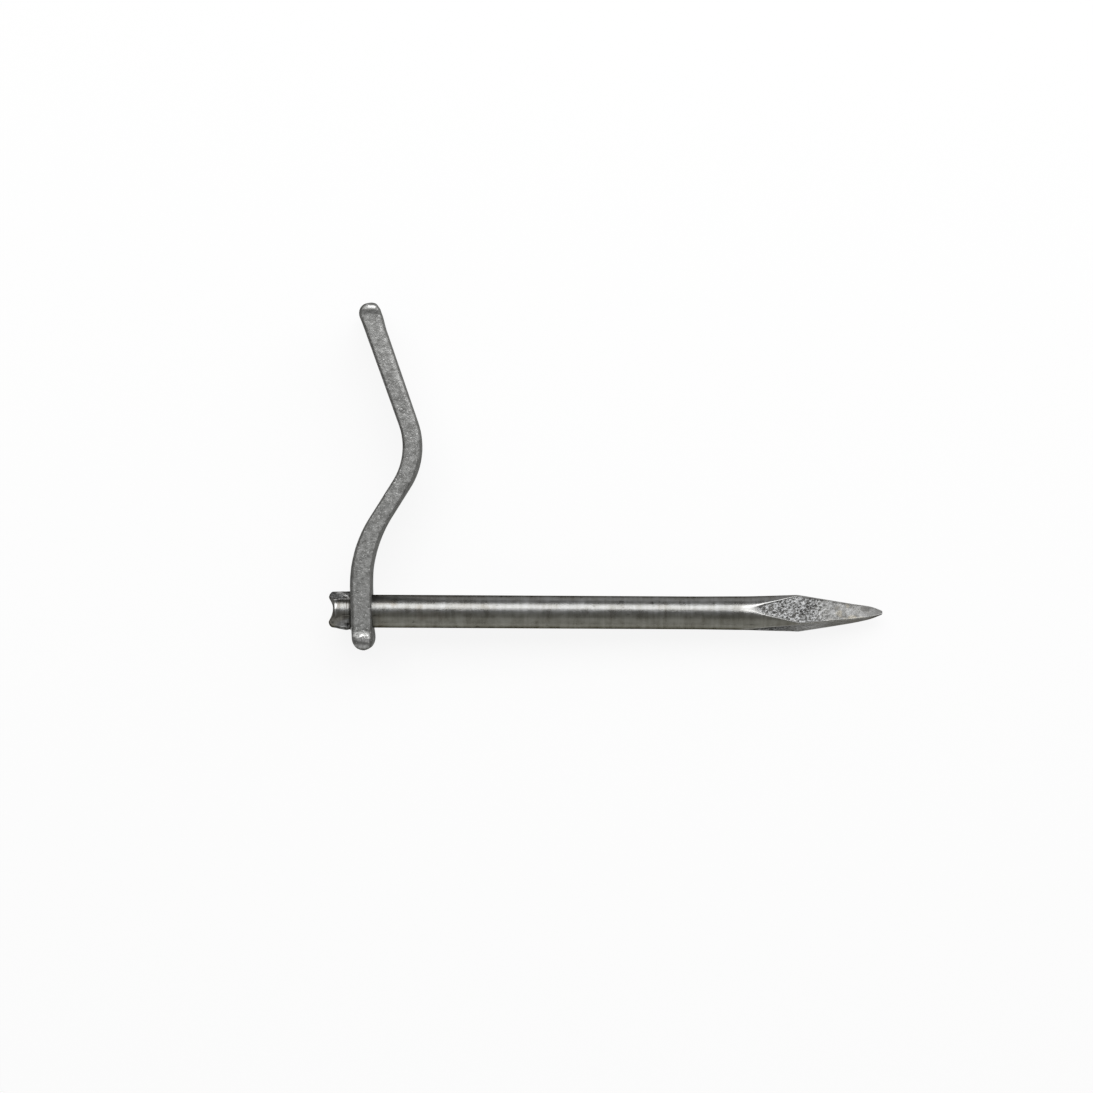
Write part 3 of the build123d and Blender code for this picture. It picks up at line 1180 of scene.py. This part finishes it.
        high = self.width - hollow * (fall - 1.0) - draw
        offset, height, worn_and_shaded = self.ring(reach[-1], reach[1], draw, high, share)

        close = np.array([0.85, 0.6, 0.3, 0.0])[:, None]
        ends = []
        for row, shrink in ((0, close[::-1]), (-1, close)):
            core = (offset[row].mean(), (height[row].max() + height[row].min()) / 2.0)
            across = core[0] + shrink * (offset[row] - core[0])
            ends.append((across, core[1] + shrink * (height[row] - core[1])))
        offset = np.vstack([ends[0][0], offset, ends[1][0]])
        height = np.vstack([ends[0][1], height, ends[1][1]])
        rows = np.clip(np.arange(-4, len(middle) + 4), 0, len(middle) - 1)
        middle, out, worn_and_shaded = middle[rows], out[rows], worn_and_shaded[rows]
        foot, top, share = depth[0][rows], depth[1][rows], share[rows]
        plan = middle[:, None, :] + out[:, None, :] * offset[..., None]
        points = np.concatenate([plan, height[..., None]], -1)

        dents = Lumps(21).at(points, 5.0) * 0.55 + Lumps(22).at(points, 1.8) * 0.45
        inner = ease(0.3, 3.0, np.minimum(height, self.width - height))
        pushed = self.dent_depth * dents * np.sign(offset) * inner
        points[..., :2] += out[:, None, :] * pushed[..., None]
        battered = self.batter[0] + self.batter[1] * ease(8.5, 6.5, foot) * Lumps(23).at(points, 1.1)
        raised = battered * dents - np.abs(battered)
        points[..., 2] += ease(self.width - 3.0, self.width - 1.2, height) * raised
        points[..., 1] = np.clip(points[..., 1], -self.foot_drop, self.top())
        return points, self.marks(foot, top, share, offset, height, worn_and_shaded)

    def marks(
        self, foot: Array, top: Array, share: Array, offset: Array, height: Array, worn_and_shaded: Array
    ) -> Marks:
        """Where shade and highlights are painted on the arm: shade on edges, ends and foot,
        highlights in bands, a spot and a streak.

        Args:
            foot: Distance of each row from the foot's end, as rows x 1.
            top: Distance of each row from the top end.
            share: How far up the arm each row lies, from 0 to 1.
            offset: Offset of each point across the thickness, as rows x ring.
            height: Height of each point.
            worn_and_shaded: How far each point is on an edge.

        Returns:
            The marks.
        """
        face = ease(self.width - 4.0, self.width - 2.0, height)
        within = ease(3.2, 2.6, np.abs(offset)) * face
        # Painted highlight: a bright band slanting across the foot's face, and a fainter one at its
        # end.
        band = bell(foot + self.band_slant * offset, *self.band, 4)
        band = np.maximum(band, 0.45 * bell(foot, *self.low_band)) * within
        # Painted shade: a dark band across the foot's face where its end falls away.
        painted_shade_band = 0.8 * bell(foot, *self.shade_band) * within
        # Painted highlight: a streak along the face on the point's side, near the top.
        streak = 0.5 * bell(offset, *self.streak) * ease(0.60, 0.70, share) * ease(4.0, 8.0, top)
        # The edges on the point's side get less painted shade above the foot, where the side lamp
        # lights them.
        spared = 1.0 - ease(0.0, 1.0, offset) * 0.7 * ease(0.12, 0.20, share)
        # Painted shade round the rims of both ends.
        end_shade = 0.7 * ease(0.9, 0.1, np.minimum(foot, top))
        return {
            Mark.WORN_AND_SHADED: np.maximum(np.maximum(worn_and_shaded * spared, painted_shade_band), end_shade),
            Mark.RUBBED_AND_HIGHLIGHT: np.maximum(band, streak * face),
            Mark.HIGHLIGHT_SPOT: bell(top, *self.spot[0], 4) * bell(offset, *self.spot[1], 4) * face,
        }

    def bore(self, piece: bpy.types.Object) -> None:
        """Cuts the hole through the foot with a round cutter that flares at both faces.

        The cutter's radius is the hole's, plus the flare drawn in by a quarter circle at each face.

        Args:
            piece: The arm, whose mesh is replaced by the cut one.
        """
        half = self.foot.thickness[0] / 2.0
        reach = np.linspace(-1.0, 1.0, 61) * (half + 1.0)
        flare = round_in(np.clip(half - 0.05 - np.abs(reach), 0.0, None), self.flare)
        ring = np.linspace(0.0, WHOLE_TURN, 97)[:-1]
        lean = math.radians(self.foot.lean)
        way = np.array([math.cos(lean), -math.sin(lean), 0.0])
        across = np.array([math.sin(lean), math.cos(lean), 0.0])
        up = np.array([0.0, 0.0, 1.0])
        station = np.concatenate([[reach[0]], reach, [reach[-1]]])[:, None]
        radius = np.concatenate([[0.0], self.hole + flare, [0.0]])[:, None]
        rows = (
            np.array([0.0, 0.0, self.width / 2.0])
            + (station + 0.0 * ring)[..., None] * way
            + (radius * np.cos(ring))[..., None] * across
            + (radius * np.sin(ring))[..., None] * up
        )
        cutter = closed_skin("hole_cutter", rows[:, ::-1], {})
        modifier = piece.modifiers.new("hole", "BOOLEAN")
        modifier.operation = "DIFFERENCE"
        modifier.solver = "EXACT"
        modifier.object = cutter
        bpy.context.view_layer.update()
        bored = piece.evaluated_get(bpy.context.evaluated_depsgraph_get())
        cut = bpy.data.meshes.new_from_object(bored)
        piece.modifiers.clear()
        whole = piece.data
        piece.data = cut
        bpy.data.objects.remove(cutter)
        bpy.data.meshes.remove(whole)
        cut.name = piece.name
        cut.set_sharp_from_angle(angle=math.radians(50.0))

    def build(self) -> bpy.types.Object:
        """Builds and dresses the arm.

        Returns:
            The finished piece.
        """
        points, marks = self.surface()
        piece = closed_skin("lever_arm", points, marks)
        self.bore(piece)
        piece.data.materials.clear()
        piece.data.materials.append(self.finish.material("forged_steel"))
        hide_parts(self.node)
        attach(piece, self.node)
        return piece


# Studio


@dataclass(frozen=True)
class SoftBox:
    """Soft lamp that faces the object (metres, degrees and watts)."""

    name: str
    heading: float
    lean: float
    distance: float
    size: Pair
    power: float

    def hang(self, target: Vector) -> None:
        """Hangs the lamp at its heading from +X and its lean from straight up, facing the target.

        Args:
            target: What it lights.
        """
        data = bpy.data.lights.new(self.name, "AREA")
        data.shape = "RECTANGLE"
        data.size, data.size_y = self.size
        data.energy = self.power
        lamp = bpy.data.objects.new(self.name, data)
        heading, lean = math.radians(self.heading), math.radians(self.lean)
        level = Vector((math.cos(heading), math.sin(heading), 0.0)) * math.sin(lean)
        offset = (level + Vector((0.0, 0.0, math.cos(lean)))) * self.distance
        lamp.location = target + offset
        lamp.rotation_euler = offset.to_track_quat("Z", "Y").to_euler()
        lamp.visible_camera = False
        bpy.context.scene.collection.objects.link(lamp)


@dataclass(frozen=True)
class PaleFloor:
    """Plain white floor: seen at full white, dimmed where the object shades it."""

    colour: Colour = (0.82, 0.82, 0.82)
    glow: float = 0.88

    def material(self, name: str) -> bpy.types.Material:
        """Makes the finish: a white glow over a plain pale surface for camera and mirror rays.

        Args:
            name: Name of the material.

        Returns:
            The material.
        """
        material, graph = new_material(name)
        camera, glossy, clear = (
            graph.add("ShaderNodeLightPath", output=ray)
            for ray in ("Is Camera Ray", "Is Glossy Ray", "Is Transmission Ray")
        )
        pale = graph.add("ShaderNodeBsdfDiffuse", {}, {"Color": (*self.colour, 1.0)})
        white = graph.add("ShaderNodeEmission", {}, {"Color": (*WHITE, 1.0), "Strength": 1.0})
        share = (camera + glossy + clear) * self.glow
        floor = graph.add("ShaderNodeMixShader", {}, {0: share, 1: pale, 2: white})
        graph.add("ShaderNodeOutputMaterial", {}, {"Surface": floor})
        return material


@dataclass
class Studio:
    """Floor, lamps, surroundings and camera (metres and degrees)."""

    floor: PaleFloor = PaleFloor()
    floor_reach: float = 6.0
    floor_gap: float = 2e-5
    lamps: tuple[SoftBox, ...] = (
        SoftBox("key", 100.0, 37.0, 1.10, (1.30, 0.72), 11.0),
        SoftBox("low_fill", -90.0, 62.0, 1.60, (2.60, 1.30), 3.6),
        SoftBox("side_fill", 40.0, 62.0, 1.40, (1.00, 0.80), 7.0),
    )
    surroundings: float = 0.30
    camera_height: float = 1.3125
    camera_place: Pair = (0.06695, 0.0239)
    camera_turn: float = 0.35
    view_width: float = 0.39745
    view_at: float = 0.0125

    def lay_floor(self) -> None:
        """Lays the floor just under the object, as one wide square."""
        signs = ((-1, -1), (1, -1), (1, 1), (-1, 1))
        corners = [(x * self.floor_reach, y * self.floor_reach, -self.floor_gap) for x, y in signs]
        mesh = bpy.data.meshes.new("floor")
        mesh.from_pydata(corners, [], [(0, 1, 2, 3)])
        mesh.materials.append(self.floor.material("pale_floor"))
        ground = bpy.data.objects.new("floor", mesh)
        bpy.context.scene.collection.objects.link(ground)

    def light(self) -> None:
        """Hangs the lamps and sets the even light around the object."""
        for lamp in self.lamps:
            lamp.hang(Vector((*self.camera_place, 0.0)))
        world = bpy.data.worlds.new("surroundings")
        bpy.context.scene.world = world
        world.use_nodes = True
        graph = Graph(world.node_tree)
        values = {"Color": (*WHITE, 1.0), "Strength": self.surroundings}
        sky = graph.add("ShaderNodeBackground", {}, values)
        graph.add("ShaderNodeOutputWorld", {}, {"Surface": sky})

    def aim(self) -> None:
        """Looks straight down on the object, turned by a fraction of a degree."""
        data = bpy.data.cameras.new("camera")
        data.sensor_width = 36.0
        data.lens = data.sensor_width * (self.camera_height - self.view_at) / self.view_width
        data.clip_end = 50.0
        camera = bpy.data.objects.new("camera", data)
        camera.location = (*self.camera_place, self.camera_height)
        camera.rotation_euler = (0.0, 0.0, math.radians(self.camera_turn))
        bpy.context.scene.collection.objects.link(camera)
        bpy.context.scene.camera = camera

    def build(self) -> None:
        """Builds the whole studio."""
        bpy.context.scene.view_settings.view_transform = "Standard"
        self.lay_floor()
        self.light()
        self.aim()


def main() -> None:
    """Builds the studio, the bar and the arm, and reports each."""
    logging.basicConfig(level=logging.INFO, format="%(name)s: %(message)s")
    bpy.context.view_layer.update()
    Studio().build()
    for maker in (StakedBar(), LeverArm()):
        piece = maker.build()
        mesh = piece.data
        LOG.info("%s: %d points, %d faces", piece.name, len(mesh.vertices), len(mesh.polygons))


if __name__ == "__main__":
    main()
